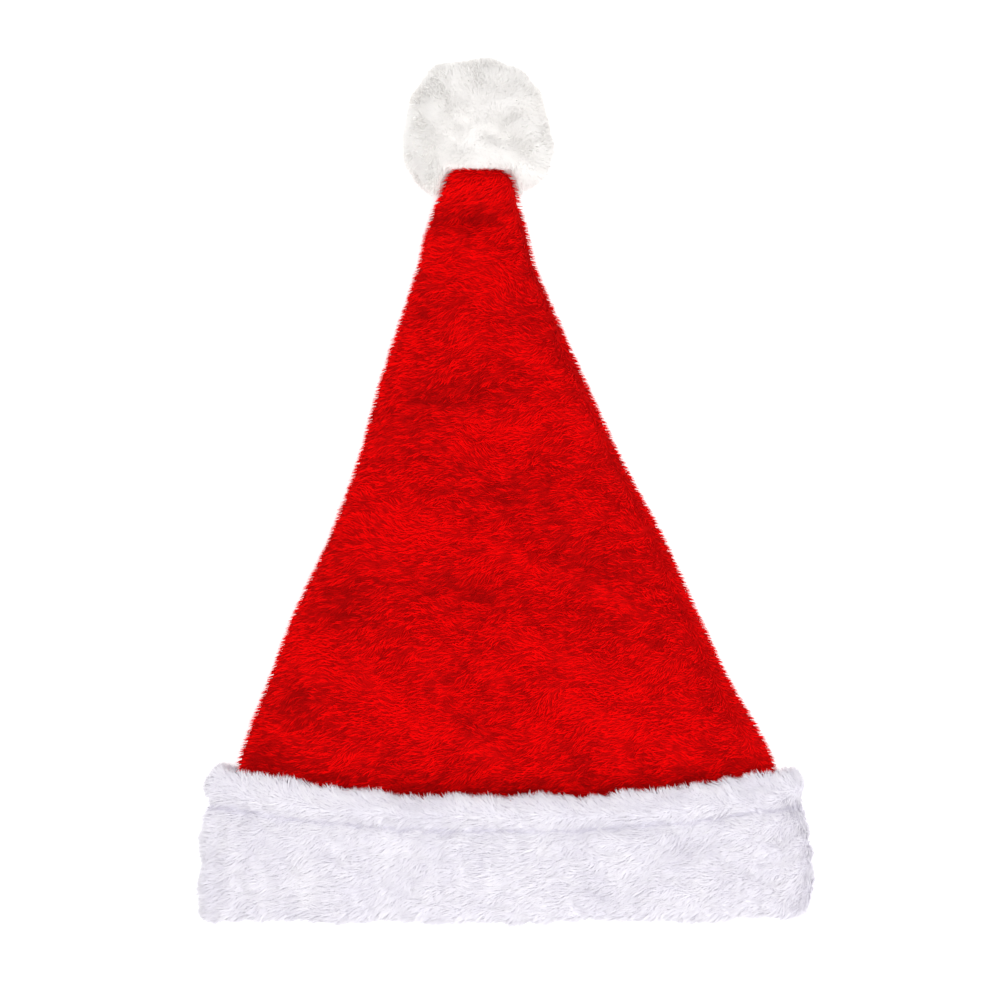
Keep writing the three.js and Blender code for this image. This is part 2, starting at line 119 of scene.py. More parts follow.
# Stations of the crown. Columns: along, from the hem to the tip; left and right bow, how far the side lies
# inside a straight taper, as a share of the width; prop, the share of the cuff's back wall under it; lift,
# that of the pompom's thickness; height, that of the crown's thickness; seam, the height of the side seams
STATIONS = np.array(
    [
        (0.0, 0.0, 0.0, 1.0, 0.0, 0.58, 0.5),
        (0.06, 0.0, 0.0, 0.95, 0.0, 0.66, 0.48),
        (0.11, -0.008, -0.008, 0.7, 0.0, 0.82, 0.42),
        (0.16, -0.008, -0.004, 0.32, 0.0, 0.96, 0.36),
        (0.22, -0.005, 0.006, 0.08, 0.0, 1.0, 0.32),
        (0.32, -0.002, 0.009, 0.0, 0.0, 0.97, 0.3),
        (0.44, 0.015, 0.01, 0.0, 0.0, 0.9, 0.3),
        (0.56, 0.019, 0.022, 0.0, 0.0, 0.82, 0.31),
        (0.68, 0.009, 0.024, 0.0, 0.0, 0.76, 0.33),
        (0.8, 0.006, 0.023, 0.0, 0.0, 0.7, 0.36),
        (0.86, 0.004, 0.02, 0.0, 0.0, 0.66, 0.4),
        (0.9, -0.002, 0.009, 0.0, 0.04, 0.62, 0.43),
        (0.935, -0.001, 0.003, 0.0, 0.22, 0.52, 0.45),
        (0.965, 0.003, -0.005, 0.0, 0.47, 0.5, 0.47),
        (1.0, 0.003, -0.005, 0.0, 0.56, 0.46, 0.5),
    ]
)

# Dents and creases of the front panel. Columns: across, along, half width and half length in
# millimetres, turn in degrees, depth in millimetres
DENTS = np.array(
    [
        (0.5, 0.922, 18.0, 5.0, 4.0, 5.5),
        (0.4, 0.657, 34.0, 9.0, 12.0, 4.0),
        (0.88, 0.76, 14.0, 8.0, -20.0, 2.5),
        (0.55, 0.503, 26.0, 9.0, 3.0, 4.5),
        (0.24, 0.568, 16.0, 8.0, 15.0, 2.5),
        (0.78, 0.4, 28.0, 12.0, -32.0, 4.5),
        (0.4, 0.372, 36.0, 10.0, -12.0, 4.5),
        (0.13, 0.345, 14.0, 14.0, 25.0, 5.5),
        (0.09, 0.205, 13.0, 10.0, 50.0, 4.5),
        (0.45, 0.165, 24.0, 4.5, -40.0, 3.5),
        (0.6, 0.17, 16.0, 4.5, 42.0, 2.5),
    ]
)

# Painted light on the red pile: painted shade in the dents and creases, where the shade is below 0, and
# painted highlights on the parts that rise to the light, where it is above 0.
# Columns: across, along, half width and half length in millimetres, turn in degrees, shade
PAINTED_LIGHT_PATCHES = np.array(
    [
        (0.5, 0.93, 20.0, 5.0, 4.0, -0.5),
        (0.5, 0.985, 20.0, 12.0, 0.0, 0.5),
        (0.16, 0.79, 5.0, 12.0, 0.0, -0.2),
        (0.86, 0.76, 12.0, 6.0, -15.0, -0.2),
        (0.36, 0.655, 34.0, 9.0, 12.0, -0.4),
        (0.55, 0.505, 26.0, 9.0, 3.0, -0.4),
        (0.24, 0.57, 16.0, 7.0, 15.0, -0.2),
        (0.78, 0.4, 26.0, 11.0, -32.0, -0.35),
        (0.4, 0.37, 36.0, 9.0, -12.0, -0.35),
        (0.13, 0.34, 14.0, 12.0, 25.0, -0.5),
        (0.08, 0.2, 12.0, 9.0, 50.0, -0.4),
        (0.06, 0.11, 10.0, 9.0, 50.0, -0.35),
        (0.42, 0.175, 22.0, 5.0, -40.0, -0.25),
        (0.265, 0.45, 18.0, 12.0, 0.0, 0.3),
        (0.1, 0.275, 12.0, 10.0, 20.0, 0.35),
        (0.34, 0.165, 26.0, 12.0, 0.0, 0.25),
        (0.715, 0.172, 28.0, 12.0, 0.0, 0.35),
        (0.6, 0.6, 20.0, 14.0, 0.0, 0.15),
        (0.45, 0.83, 16.0, 14.0, 0.0, 0.15),
    ]
)

# The cuff's wall as a closed outline, from the mouth edge round the outer face, the groove and the roll.
# Columns: out, up
CUFF_PROFILE = np.array(
    [
        (0.0, 0.1),
        (0.25, 0.01),
        (0.75, 0.0),
        (0.97, 0.06),
        (1.0, 0.24),
        (0.98, 0.48),
        (0.91, 0.65),
        (0.78, 0.745),
        (0.87, 0.85),
        (0.66, 0.965),
        (0.34, 0.985),
        (0.06, 0.87),
        (0.0, 0.4),
    ]
)
PROFILE_ROWS = len(CUFF_PROFILE)
PROFILE_GROOVE = 7 / PROFILE_ROWS
PROFILE_FUR = (0.5 / PROFILE_ROWS, 11.8 / PROFILE_ROWS)  # where the fur starts and ends

# Main lumps of the pompom. Columns: turn in degrees, reach as a share of the pompom
LUMPS = np.array(
    [
        (2, 1.0),
        (28, 0.97),
        (52, 0.85),
        (74, 0.96),
        (100, 0.92),
        (122, 0.97),
        (141, 0.94),
        (165, 0.91),
        (187, 0.95),
        (205, 1.1),
        (222, 1.18),
        (238, 1.16),
        (302, 1.18),
        (318, 1.22),
        (338, 1.13),
    ]
)
LUMP_TILTS = np.radians([-12.0, 14.0])
ROUND_LOBES = 26


def smooth_column(column, at):
    """A column of STATIONS as a curve of its along column: Hermite cubics whose slopes are the gradients
    of the column."""
    along, values = STATIONS[:, 0], STATIONS[:, column]
    slopes = np.gradient(values, along)
    i = np.clip(np.searchsorted(along, at) - 1, 0, len(along) - 2)
    span = along[i + 1] - along[i]
    t = np.clip((at - along[i]) / span, 0, 1)
    start = (1 + 2 * t) * (1 - t) ** 2 * values[i] + t * (1 - t) ** 2 * span * slopes[i]
    end = t**2 * (3 - 2 * t) * values[i + 1] + t**2 * (t - 1) * span * slopes[i + 1]
    return start + end


def ripple(points, size, seed, waves=9):
    """Smooth noise from about -1 to 1: the sum of sine waves with random directions and phases, whose
    lengths lie around size, in millimetres."""
    rng = np.random.default_rng(seed)
    ways = rng.normal(size=(waves, 3))
    ways /= np.linalg.norm(ways, axis=1)[:, None]
    turns = 2 * math.pi / size * rng.uniform(0.6, 1.5, waves)
    phases = rng.uniform(0, 2 * math.pi, waves)
    total = np.zeros(points.shape[:-1])
    for way, turn, phase in zip(ways, turns, phases):
        total += np.sin(points @ way * turn + phase)
    return total / math.sqrt(waves)


def ripples(points, table, seed=0):
    """The sum of ripples of a table, each by its height, with its own seed added to the given one."""
    return sum(height * ripple(points, size, seed + step) for height, size, step in table)


def unit(vectors):
    """The vectors, each divided by its own length."""
    return vectors / np.maximum(np.linalg.norm(vectors, axis=-1), 1e-9)[..., None]


def crown_sides(along):
    """The crown's left and right edge and how far the rounded tip has closed, at a share of its length:
    a straight taper from the cuff to the tip, less the bow of each side."""
    y = HEM_Y + along * CROWN_LENGTH
    taper = np.clip((y - TAPER_Y) / (TIP_Y - TIP_ROUND - TAPER_Y), 0, 1)
    half = (CROWN_WIDTH + (TIP_WIDTH - CROWN_WIDTH) * taper) / 2
    rounding = np.sqrt(np.maximum(0, 1 - np.maximum(0, (y - TIP_Y + TIP_ROUND) / TIP_ROUND) ** 2))
    left = TIP_LEAN * taper - rounding * (half - smooth_column(1, along) * CROWN_WIDTH)
    right = TIP_LEAN * taper + rounding * (half - smooth_column(2, along) * CROWN_WIDTH)
    return left, right, rounding


def blobs(x, y, table):
    """The sum of turned Gaussian spots of a table, with their places as shares across and along the
    crown."""
    total = np.zeros(np.shape(x))
    for across, along, wide, long, turn, amount in table:
        left, right, _ = crown_sides(along)
        dx = x - (left + across * (right - left))
        dy = y - (HEM_Y + along * CROWN_LENGTH)
        c, s = math.cos(math.radians(turn)), math.sin(math.radians(turn))
        total += amount * np.exp(-(((dx * c + dy * s) / wide) ** 2) - ((dy * c - dx * s) / long) ** 2)
    return total


def cuff_top_y(x):
    """The level of the cuff's top edge: a parabola that reaches further at the sides."""
    return MOUTH_Y + CUFF_DEPTH + CUFF_TOP_SAG * (2 * x / CUFF_WIDTH) ** 2


def crown_surface(turn, along, inset=0.0):
    """A point of the crown: turn runs over the front panel from 0 to pi and on round the back one. Each
    ring is a flat-bottomed superellipse between the two sides, less the dents and soft ripples, and inset
    moves it in."""
    left, right, rounding = crown_sides(along)
    prop, lift, height, seam_share = (smooth_column(column, along) for column in (3, 4, 5, 6))
    under = prop * CUFF_BACK_WALL + lift * POMPOM_SIZE[2]
    thickness = height * CROWN_THICKNESS
    seam = under + seam_share * thickness
    top = seam + (under + thickness - seam) * rounding
    bottom = seam + (under - seam) * rounding
    share = np.cos(turn)
    half = np.maximum((right - left) / 2 - inset, LEAST_HALF)
    x = (left + right) / 2 + share * half
    y = np.broadcast_to(HEM_Y + along * CROWN_LENGTH, np.shape(x))
    waves = ripples(np.stack([x, y, np.zeros(np.shape(x))], -1), CROWN_WAVES)
    pinch = SEAM_PINCH * np.exp(-(((y - cuff_top_y(x)) / SEAM_PINCH_REACH) ** 2))
    sunk = (blobs(x, y, DENTS) + waves + pinch) * (1 - share**2) * rounding
    rise = np.maximum(top - inset - seam - sunk, LEAST_RISE)
    front = seam + rise * np.maximum(0, 1 - np.abs(share) ** FRONT_ROUND) ** (1 / FRONT_ROUND)
    flat = np.minimum(1, BACK_FLAT * np.maximum(0, 1 - np.abs(share) ** BACK_ROUND) ** (1 / BACK_ROUND))
    back = seam - np.maximum(seam - bottom - inset, LEAST_RISE) * flat
    return np.stack([x, y, np.where(np.sin(turn) >= 0, front, back)], -1)


def closed_curve(table, share):
    """A closed Catmull-Rom curve through the rows of a table, at a share of its rows."""
    rows = len(table)
    at = np.mod(share, 1) * rows
    i = np.floor(at).astype(int)
    t = (at - i)[..., None]
    a, b, c, d = (table[np.mod(i + step, rows)] for step in (-1, 0, 1, 2))
    square = 2 * a - 5 * b + 4 * c - d
    cube = 3 * b - a - 3 * c + d
    return 0.5 * (2 * b + (c - a) * t + square * t**2 + cube * t**3)


def signed_power(value, power):
    """A power of the value's size, with the value's sign."""
    return np.sign(value) * np.abs(value) ** power


def on_floor(place, inset):
    """Lifts the points that lie lower than the floor, or than the inset over it."""
    place[..., 2] = np.maximum(place[..., 2], np.minimum(inset, FLOOR_INSET))
    return place


def cuff_point(turn, out, up):
    """A point of the cuff's wall: turn runs round the band, out from the inner superellipse to the outer
    one and up from the mouth edge to the top edge."""
    hem_height = STATIONS[0, 5] * CROWN_THICKNESS
    to_hem = np.minimum(1, up * CUFF_DEPTH / (CUFF_DEPTH - CROWN_TUCK))
    gape = MOUTH_GAPE + (hem_height - MOUTH_GAPE) * to_hem
    cos, sin = np.cos(turn), np.sin(turn)
    inner_x = signed_power(cos, 2 / MOUTH_ROUND) * CROWN_WIDTH / 2
    inner_z = CUFF_BACK_WALL + gape / 2 * (1 + signed_power(sin, 2 / MOUTH_ROUND))
    half = (CUFF_BACK_WALL + gape + CUFF_FRONT_WALL) / 2
    outer_x = signed_power(cos, 2 / CUFF_ROUND) * CUFF_WIDTH / 2
    outer_z = np.maximum(0, half * (1 + BACK_FLAT * signed_power(sin, 2 / CUFF_ROUND)))
    x = inner_x + (outer_x - inner_x) * out
    z = inner_z + (outer_z - inner_z) * out
    side = 2 * x / CUFF_WIDTH
    mouth = MOUTH_Y + CUFF_MOUTH_SAG * side**2 + CUFF_MOUTH_SKEW * side
    return np.stack([x, mouth + (cuff_top_y(x) - mouth) * up, z], -1)


def even_turns():
    """Turns that share the cuff's length round its outer face into equal steps: the running length of
    a fine polygon, turned into a table from share to turn."""
    turns = np.linspace(0, 2 * math.pi, 2001)
    line = cuff_point(turns, np.ones(2001), np.full(2001, 0.5))
    length = np.concatenate([[0], np.cumsum(np.linalg.norm(np.diff(line, axis=0), axis=1))])
    return length / length[-1], turns


TURN_SHARES, TURNS = even_turns()


def cuff_surface(round_share, profile_share, inset=0.0):
    """A point of the cuff: round_share runs round the band in equal steps, profile_share along the wall's
    closed outline, and inset moves it in along the wall's own normal, worked out from close neighbours."""

    def at(u, v):
        out_up = closed_curve(CUFF_PROFILE, v)
        return cuff_point(np.interp(np.mod(u, 1), TURN_SHARES, TURNS), out_up[..., 0], out_up[..., 1])

    u, v = np.broadcast_arrays(round_share, profile_share)
    place = at(u, v)
    lumps = ripples(place, CUFF_WAVES)
    step = 0.002
    normal = unit(np.cross(at(u, v + step) - at(u, v - step), at(u + step, v) - at(u - step, v)))
    return on_floor(place - normal * (inset + lumps)[..., None], inset)


def tip_distance(x, y):
    """How far a point lies outside the crown's tip as seen from above, and the level of the tip's seam."""
    along = np.clip((y - HEM_Y) / CROWN_LENGTH, 0, TIP_END)
    left, right, _ = crown_sides(along)
    lift, height, seam_share = (smooth_column(column, along) for column in (4, 5, 6))
    seam = lift * POMPOM_SIZE[2] + seam_share * height * CROWN_THICKNESS
    outside = np.maximum(np.maximum(left - x, x - right), y - TIP_Y + TIP_MARGIN)
    return outside, seam


def pompom_lobes():
    """Directions and reaches of the pompom's lobes: the main lumps round its outline, and the rest on
    a spiral from pole to pole that turns by the golden angle."""
    tilts = LUMP_TILTS[np.arange(len(LUMPS)) % 2]
    turns = np.radians(LUMPS[:, 0])
    main = np.stack([np.cos(tilts) * np.cos(turns), np.cos(tilts) * np.sin(turns), np.sin(tilts)], -1)
    steps = np.arange(ROUND_LOBES)
    z = 1 - 2 * (steps + 0.5) / ROUND_LOBES
    golden = math.pi * (3 - math.sqrt(5)) * steps
    out = np.sqrt(1 - z**2)
    rest = np.stack([out * np.cos(golden), out * np.sin(golden), z], -1)
    reaches = np.concatenate([LUMPS[:, 1], np.full(ROUND_LOBES, 1.0)])
    return np.concatenate([main, rest]), reaches


LOBE_WAYS, LOBE_REACHES = pompom_lobes()
LOBE_SPREAD = 0.46  # radians from a lobe's middle to where it has fallen to a third
POMPOM_HEAD = 0.925  # size between the lobes, as a share of the pompom


def pompom_surface(turn, pole, inset=0.0):
    """A point of the pompom: a superellipsoid whose radius rises to each lobe's reach by a Gaussian of the
    angle to it, with the largest lobe winning, plus soft noise. The crown's tip presses it down to the
    tip's seam."""
    turn, pole = np.broadcast_arrays(turn, pole)
    way = np.stack([np.sin(pole) * np.cos(turn), np.sin(pole) * np.sin(turn), np.cos(pole)], -1)
    shares = np.sum(np.abs(2 * way / POMPOM_SIZE) ** POMPOM_ROUND, -1)
    reach = shares ** (-1 / POMPOM_ROUND)
    angle = np.arccos(np.clip(way @ LOBE_WAYS.T, -1, 1))
    swell = np.max((LOBE_REACHES - POMPOM_HEAD) * np.exp(-((angle / LOBE_SPREAD) ** 2)), -1)
    radius = reach * (POMPOM_HEAD + swell) + ripples(way * 30, POMPOM_WAVES) - inset
    place = POMPOM_MIDDLE + way * radius[..., None]
    outside, seam = tip_distance(place[..., 0], place[..., 1])
    above = place[..., 2] - (seam - TIP_PRESS)
    pressed = seam - TIP_PRESS + above * np.clip(outside / TIP_MARGIN, 0, 1)
    place[..., 2] = np.where(above > 0, pressed, place[..., 2])
    return on_floor(place, inset)


def linear(hex_colour):
    """An sRGB hex colour as linear red, green and blue."""
    shares = [int(hex_colour[i : i + 2], 16) / 255 for i in (1, 3, 5)]
    return [s / 12.92 if s <= 0.04045 else ((s + 0.055) / 1.055) ** 2.4 for s in shares]


def colour_property(name, description, hex_colour):
    return bpy.props.FloatVectorProperty(
        name=name,
        description=description,
        subtype="COLOR",
        size=3,
        min=0,
        max=1,
        default=linear(hex_colour),
    )


def length_property(name, description, millimetres):
    return bpy.props.FloatProperty(
        name=name, description=description, unit="LENGTH", min=0, default=millimetres * MM
    )


class CrownSettings(bpy.types.PropertyGroup):
    """Sizes and colours of the red plush."""

    pile: length_property("Pile", "Length of one tuft of the plush", 3.8)
    depth: length_property("Depth", "How far the cloth lies under the outside of the pile", 2.0)
    cloth: length_property("Cloth", "Thickness of the backing", 1.8)
    tuft: length_property("Tuft", "Width of one tuft at its root", 0.85)
    # Bright and dark hold the nap's painted highlights, painted shade and random tone; root is painted
    # shade deep in the pile
    bright: colour_property("Bright", "Pile that stands to the light", "#FF0304")
    dark: colour_property("Dark", "Pile that leans away from the light", "#8E0203")
    root: colour_property("Root", "Depth of the pile", "#A80203")
    backing: colour_property("Backing", "Knitted back of the cloth", "#A30A10")


class CuffSettings(bpy.types.PropertyGroup):
    """Sizes and colours of the cuff's fur."""

    pile: length_property("Pile", "Length of one tuft of the fur", 5.4)
    depth: length_property("Depth", "How far the cloth lies under the outside of the fur", 1.2)
    tuft: length_property("Tuft", "Width of one tuft at its root", 0.6)
    # Bright and dark hold random tone and the painted shade of the groove; root and backing are painted
    # shade deep between the tufts
    bright: colour_property("Bright", "Fur that stands to the light", "#EEECEF")
    dark: colour_property("Dark", "Fur that leans away from the light", "#C2BECE")
    root: colour_property("Root", "Depth of the fur", "#E3E0E8")
    backing: colour_property("Backing", "Knitted back of the fur", "#D8D5DE")


class PompomSettings(bpy.types.PropertyGroup):
    """Sizes and colours of the pompom."""

    pile: length_property("Pile", "Length of one tuft of the pompom", 4.5)
    depth: length_property("Depth", "How far the core lies under the outside of the fluff", 3.2)
    tuft: length_property("Tuft", "Width of one tuft at its root", 0.5)
    # Bright and dark hold random tone; root is a faint painted shade deep in the fluff
    bright: colour_property("Bright", "Fluff that stands to the light", "#F9F7F5")
    dark: colour_property("Dark", "Fluff in the folds", "#F3F1EF")
    root: colour_property("Root", "Depth of the fluff", "#F6F4F2")


class StageSettings(bpy.types.PropertyGroup):
    """Floor, light and camera."""

    floor: colour_property("Floor", "Pale matt floor", "#FBFBFB")
    camera_height: length_property("Camera height", "Camera above the floor", 2200.0)
    view_width: length_property("View width", "Width of the picture at the hat", 490.0)
    view_x: length_property("View offset", "Middle of the picture from the hat's middle", 3.2)


def add_node(tree, kind, settings=(), inputs=()):
    """Adds a node, sets its own settings, and sets or links its inputs."""
    node = tree.nodes.new(kind)
    for name, value in dict(settings).items():
        setattr(node, name, value)
    for name, value in dict(inputs).items():
        if isinstance(value, bpy.types.NodeSocket):
            tree.links.new(value, node.inputs[name])
        else:
            node.inputs[name].default_value = value
    return node


def new_material(name):
    material = bpy.data.materials.new(name)
    material.use_nodes = True
    material.node_tree.nodes.clear()
    return material, material.node_tree


def pile_material(name, settings, roughness, sheen, sheen_tint):
    """Polyester pile, cut and brushed: matt fibres with a soft sheen. The colour holds painted shade:
    darker at the root, where the tip attribute runs from 0 at the root to 1 at the point, and between the
    dark and the bright colour by the shade attribute, which carries the nap's painted shade, painted
    highlights and random tone."""
    material, tree = new_material(name)
    shade = add_node(tree, "ShaderNodeAttribute", {"attribute_name": "shade"})
    tip = add_node(tree, "ShaderNodeAttribute", {"attribute_name": "tip"})
    # The dark and bright colours mixed by shade: painted shade, painted highlights and random tone
    painted_shade_mix = add_node(
        tree,
        "ShaderNodeMix",
        {"data_type": "RGBA"},
        {0: shade.outputs["Fac"], 6: (*settings.dark, 1), 7: (*settings.bright, 1)},
    )
    colour = add_node(
        tree,
        "ShaderNodeMix",
        {"data_type": "RGBA"},
        {0: tip.outputs["Fac"], 6: (*settings.root, 1), 7: painted_shade_mix.outputs[2]},
    )
    shader = add_node(
        tree,
        "ShaderNodeBsdfPrincipled",
        {},
        {
            "Base Color": colour.outputs[2],
            "Roughness": roughness,
            "Specular IOR Level": 0.04,
            "Sheen Weight": sheen,
            "Sheen Roughness": 0.45,
            "Sheen Tint": (*sheen_tint, 1),
        },
    )
    add_node(tree, "ShaderNodeOutputMaterial", {}, {"Surface": shader.outputs["BSDF"]})
    return material


def knit_material(name, colour, rib_mm):
    """Warp-knitted polyester backing: a matt cloth with fine ribs that run along the hat."""
    material, tree = new_material(name)
    place = add_node(tree, "ShaderNodeTexCoord")
    ribs = add_node(
        tree,
        "ShaderNodeTexWave",
        {"bands_direction": "X"},
        {
            "Vector": place.outputs["Object"],
            "Scale": math.pi / (rib_mm * MM * 10),
            "Distortion": 1.5,
            "Detail": 2.0,
        },
    )
    fuzz = add_node(
        tree,
        "ShaderNodeTexNoise",
        {},
        {"Vector": place.outputs["Object"], "Scale": 1 / (0.8 * MM), "Detail": 4.0},
    )
    tone = add_node(
        tree,
        "ShaderNodeMix",
        {"data_type": "RGBA"},
        {
            0: fuzz.outputs["Fac"],
            6: (*[c * 0.85 for c in colour], 1),
            7: (*[min(1, c * 1.1) for c in colour], 1),
        },
    )
    bump = add_node(
        tree,
        "ShaderNodeBump",
        {},
        {"Height": ribs.outputs["Fac"], "Strength": 0.35, "Distance": 0.4 * MM},
    )
    shader = add_node(
        tree,
        "ShaderNodeBsdfPrincipled",
        {},
        {
            "Base Color": tone.outputs[2],
            "Normal": bump.outputs["Normal"],
            "Roughness": 0.92,
            "Specular IOR Level": 0.2,
            "Sheen Weight": 0.15,
        },
    )
    add_node(tree, "ShaderNodeOutputMaterial", {}, {"Surface": shader.outputs["BSDF"]})
    return material


def mesh_object(name, points, faces, sizes=None):
    """A mesh from arrays of points in millimetres and of corner numbers, with all faces of one size, or
    with their sizes given."""
    corners = np.asarray(faces, np.int32).ravel()
    if sizes is None:
        sizes = np.full(len(faces), np.shape(faces)[1], np.int32)
    mesh = bpy.data.meshes.new(name)
    mesh.vertices.add(len(points))
    mesh.vertices.foreach_set("co", (np.asarray(points) * MM).astype(np.float32).ravel())
    mesh.loops.add(len(corners))
    mesh.loops.foreach_set("vertex_index", corners)
    mesh.polygons.add(len(sizes))
    mesh.polygons.foreach_set("loop_start", np.concatenate([[0], np.cumsum(sizes)[:-1]]).astype(np.int32))
    mesh.update(calc_edges=True)
    mesh.validate()
    mesh.polygons.foreach_set("use_smooth", np.ones(len(sizes), bool))
    piece = bpy.data.objects.new(name, mesh)
    bpy.context.scene.collection.objects.link(piece)
    return piece


def grid_faces(rows, columns, close_rows=False, close_columns=False, first=0):
    """Corner numbers of the quads of a grid of points, with either direction closed on itself."""
    i = np.arange(rows if close_rows else rows - 1)
    j = np.arange(columns if close_columns else columns - 1)
    i, j = np.meshgrid(i, j, indexing="ij")
    ni, nj = (i + 1) % rows, (j + 1) % columns
    quads = np.stack([i * columns + j, ni * columns + j, ni * columns + nj, i * columns + nj], -1)
    return quads.reshape(-1, 4) + first


def shell(name, outer, inner):
    """A closed cloth shell between two grids of the same size: the outer grid, the inner one turned
    round, and a strip of quads along each of the four edges."""
    rows, columns = outer.shape[:2]
    count = rows * columns
    index = np.arange(count).reshape(rows, columns)
    edge = np.concatenate([index[:, 0], index[-1, 1:], index[-2::-1, -1], index[0, -2:0:-1]])
    following = np.roll(edge, -1)
    rim = np.stack([edge, edge + count, following + count, following], -1)
    outside = grid_faces(rows, columns)
    inside = grid_faces(rows, columns, first=count)[:, ::-1]
    points = np.concatenate([outer.reshape(-1, 3), inner.reshape(-1, 3)])
    piece = mesh_object(name, points, np.concatenate([outside, inside, rim]))
    return piece, len(outside)


def face_out(piece):
    """Turns every face outwards, where the closed mesh has a negative volume."""
    mesh = piece.data
    count = len(mesh.loop_triangles)
    corners = np.empty(count * 3, np.int32)
    mesh.loop_triangles.foreach_get("vertices", corners)
    points = np.empty(len(mesh.vertices) * 3, np.float32)
    mesh.vertices.foreach_get("co", points)
    a, b, c = np.moveaxis(points.reshape(-1, 3)[corners.reshape(-1, 3)], 1, 0)
    if np.sum(a * np.cross(b, c)) < 0:
        mesh.flip_normals()


SCATTER_CELLS = 260  # each way


def scatter(surface, u_range, v_range, count, rng, keep=None):
    """Spreads points over a surface evenly by area: cells of a fine grid are drawn in proportion to their
    area, times the keep function of their middle, and each point lies at a random place in its cell."""
    u = np.linspace(*u_range, SCATTER_CELLS)
    v = np.linspace(*v_range, SCATTER_CELLS)
    grid_u, grid_v = np.meshgrid(u, v, indexing="ij")
    points = surface(grid_u, grid_v)
    along_u = points[1:, :-1] - points[:-1, :-1]
    along_v = points[:-1, 1:] - points[:-1, :-1]
    weight = np.linalg.norm(np.cross(along_u, along_v), axis=-1)
    if keep is not None:
        weight = weight * keep(points[:-1, :-1])
    total = np.cumsum(weight.ravel())
    wanted = (np.arange(count) + rng.random(count)) / count * total[-1]
    cell = np.minimum(np.searchsorted(total, wanted), total.size - 1)
    i, j = np.unravel_index(cell, weight.shape)
    picked_u = u[i] + rng.random(count) * (u[1] - u[0])
    picked_v = v[j] + rng.random(count) * (v[1] - v[0])
    return picked_u, picked_v


def surface_frame(surface, u, v, step_u, step_v):
    """Points of a surface with their outward normals, from the cross product of central differences."""
    along_u = surface(u + step_u, v) - surface(u - step_u, v)
    along_v = surface(u, v + step_v) - surface(u, v - step_v)
    return surface(u, v), unit(np.cross(along_v, along_u))


def clump_pull(points, size, seed):
    """For each point, the way to the nearest centre of a jittered grid of boxes of a size, and a random
    number of that centre: the centres are where tufts gather into one point."""
    offsets = np.stack(np.meshgrid(*[[-1, 0, 1]] * 3, indexing="ij"), -1).reshape(-1, 3)
    places = points / size
    cell = np.floor(places)
    best = np.full(len(points), np.inf)
    pull = np.zeros_like(points)
    luck = np.zeros(len(points))
    # Uneven factors that turn the number of a box into three random shares
    keys = np.array([[12.9898, 78.233, 37.719], [39.346, 11.135, 83.155], [73.156, 52.235, 9.151]])
    for offset in offsets:
        corner = cell + offset
        jitter = np.mod(np.sin((corner + seed) @ keys.T) * 43758.5453, 1)
        away = corner + jitter - places
        distance = np.sum(away**2, -1)
        nearer = distance < best
        best = np.where(nearer, distance, best)
        pull[nearer] = away[nearer]
        luck[nearer] = jitter[nearer, 0]
    return pull * size, luck


def build_tufts(roots, points, normals, width):
    """Closed four-sided spikes: two root corners side by side, a third root corner raised over them, and
    the point. Returns their corners and triangles: two upper ones, the under one and the foot."""
    count = len(roots)
    side = unit(np.cross(points - roots, normals))
    half = (width / 2)[:, None]
    corners = np.stack([roots - side * half, roots + side * half, roots + normals * half * 0.9, points], 1)
    pattern = np.array([[0, 2, 3], [2, 1, 3], [1, 0, 3], [0, 1, 2]])
    faces = np.arange(count)[:, None, None] * 4 + pattern
    return corners.reshape(-1, 3), faces.reshape(-1, 3)


def point_attribute(mesh, label, values):
    """Gives each point of a mesh a number that its material reads."""
    layer = mesh.attributes.new(label, "FLOAT", "POINT")
    layer.data.foreach_set("value", values.astype(np.float32))


def tuft_piece(name, roots, points, normals, width, shade, soft, material):
    """One mesh of all the tufts, with the tip and shade attributes and a texture cell of its own for each
    tuft. Soft is how far the shading of the upper triangles turns from the triangle's own normal to the
    cloth's, so that neighbouring tufts blend."""
    count = len(roots)
    corners, faces = build_tufts(roots, points, normals, width)
    corners[:, 2] = np.maximum(corners[:, 2], FLOOR_CLEAR)
    piece = mesh_object(name, corners, faces)
    mesh = piece.data
    # The root corners take the root colour, painted shade deep in the pile; the point takes the mixed shade
    # colour
    point_attribute(mesh, "tip", np.tile([0.0, 0.0, 0.25, 1.0], count))
    point_attribute(mesh, "shade", np.repeat(shade, 4))
    cells = math.ceil(math.sqrt(count))
    number = np.repeat(np.arange(count), 4)
    cell = np.stack([number % cells, number // cells], -1)
    layout = np.array([(0.1, 0.1), (0.9, 0.1), (0.5, 0.3), (0.5, 0.95)])
    place = (cell + 0.05 + 0.9 * np.tile(layout, (count, 1))) / cells
    chart = mesh.uv_layers.new(name="OFBake")
    chart.data.foreach_set("uv", place[faces.ravel()].astype(np.float32).ravel())
    a, b, c = corners[faces[:, 0]], corners[faces[:, 1]], corners[faces[:, 2]]
    own = unit(np.cross(b - a, c - a))
    turn = np.tile([soft, soft, 0.0, 0.0], count)[:, None]
    shading = unit(own + turn * np.repeat(normals, 4, 0))
    mesh.normals_split_custom_set(np.repeat(shading, 3, 0))
    mesh.materials.append(material)
    return piece


def along_surface(vectors, normals):
    """The part of each vector that lies along the surface."""
    return vectors - normals * np.sum(vectors * normals, -1)[:, None]


def nap_ways(normals, angle, rise, stray):
    """Unit ways along the surface that point at an angle from +X in plan, with a rise and a random
    stray."""
    plan = np.stack([np.cos(angle), np.sin(angle), rise], -1) + stray
    return unit(along_surface(plan, normals))


def tuft_lengths(settings, luck, least, rng):
    """Lengths of tufts: a clump shares its luck, and each tuft varies a little by itself."""
    return settings.pile / MM * (least + 0.35 * luck) * rng.uniform(least, 1.15, len(luck))


